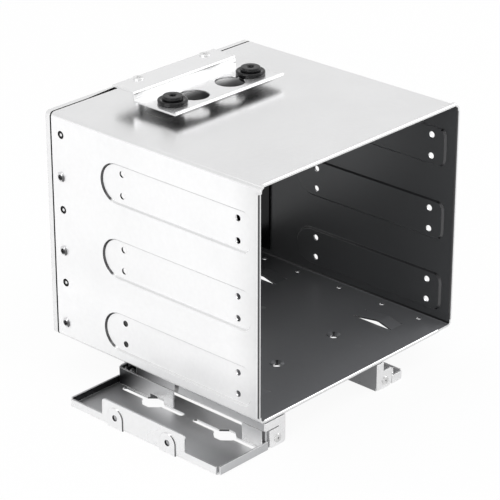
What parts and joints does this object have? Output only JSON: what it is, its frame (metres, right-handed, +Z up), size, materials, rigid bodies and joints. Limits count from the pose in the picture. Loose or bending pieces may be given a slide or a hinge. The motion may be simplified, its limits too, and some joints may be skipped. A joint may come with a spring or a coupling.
{
  "type": "drive cage",
  "caption": "Folded sheet-steel cage for stacked 5.25-inch drives, with a grommeted top bracket and folding mounting trays hinged under its floor.",
  "frame": {"origin": "middle of the whole part's box, at the level that its underside rests on", "axes": "+X from the wide hinged tray's side towards the other wall, +Y from the open front to the rear frame, +Z up"},
  "size_m": [0.1828, 0.1496, 0.1541],
  "materials": {
    "zinc_steel": "satin zinc plate",
    "frame_steel": "satin zinc plate",
    "bracket_steel": "bright zinc plate",
    "tray_steel": "satin zinc plate",
    "screw_steel": "bright plate",
    "rivet_steel": "bright",
    "grommet_rubber": "smooth semi-gloss"
  },
  "bodies": {
    "cage": {"cage_shell": "zinc_steel", "rear_frame": "frame_steel", "rear_screws_left": "screw_steel", "rear_screws_right": "screw_steel", "top_bracket": "bracket_steel", "grommet_left": "grommet_rubber", "grommet_right": "grommet_rubber", "bracket_spacers": "bracket_steel", "bracket_screws": "screw_steel", "left_hinge_bracket": "bracket_steel", "left_front_rivet": "rivet_steel", "left_rear_rivet": "rivet_steel", "left_bracket_rivets": "rivet_steel", "right_hinge_bracket": "bracket_steel", "right_front_rivet": "rivet_steel", "right_rear_rivet": "rivet_steel", "right_bracket_rivets": "rivet_steel"},
    "left_tray": {"left_tray": "tray_steel"},
    "right_tray": {"right_tray": "tray_steel"}
  },
  "joints": [
    {"name": "left_tray_hinge", "type": "hinge", "parent": "cage", "child": "left_tray", "pos_m": [-0.04785, -0.02125, 0.004], "axis": [0, -1, 0], "range_deg": [0, 90]},
    {"name": "right_tray_hinge", "type": "hinge", "parent": "cage", "child": "right_tray", "pos_m": [0.03565, -0.02125, 0.004], "axis": [0, 1, 0], "range_deg": [0, 90]}
  ]
}
